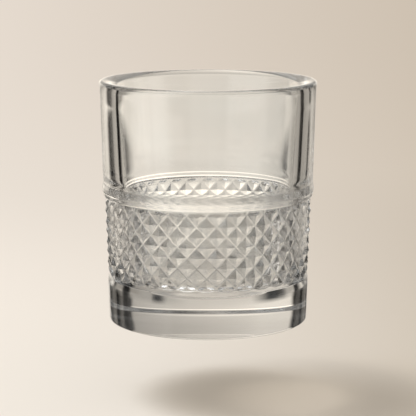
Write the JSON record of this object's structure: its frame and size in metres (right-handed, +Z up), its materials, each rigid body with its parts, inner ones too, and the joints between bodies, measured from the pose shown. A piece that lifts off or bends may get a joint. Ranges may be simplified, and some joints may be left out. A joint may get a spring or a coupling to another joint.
{
  "type": "whiskey tumbler",
  "caption": "Clear pressed-glass whiskey tumbler with a heavy plain base, a raised diamond-cut band, a ledge and a plain upper wall with a rounded rim.",
  "frame": {"origin": "centre of the foot, on the plane the tumbler stands on", "axes": "+Z up along the tumbler's axis; -Y is the side seen from the front"},
  "size_m": [0.082, 0.082, 0.0915],
  "materials": {
    "clear_glass": "fire-polished clear soda-lime glass"
  },
  "bodies": {
    "root": {"tumbler": "clear_glass"}
  },
  "joints": []
}
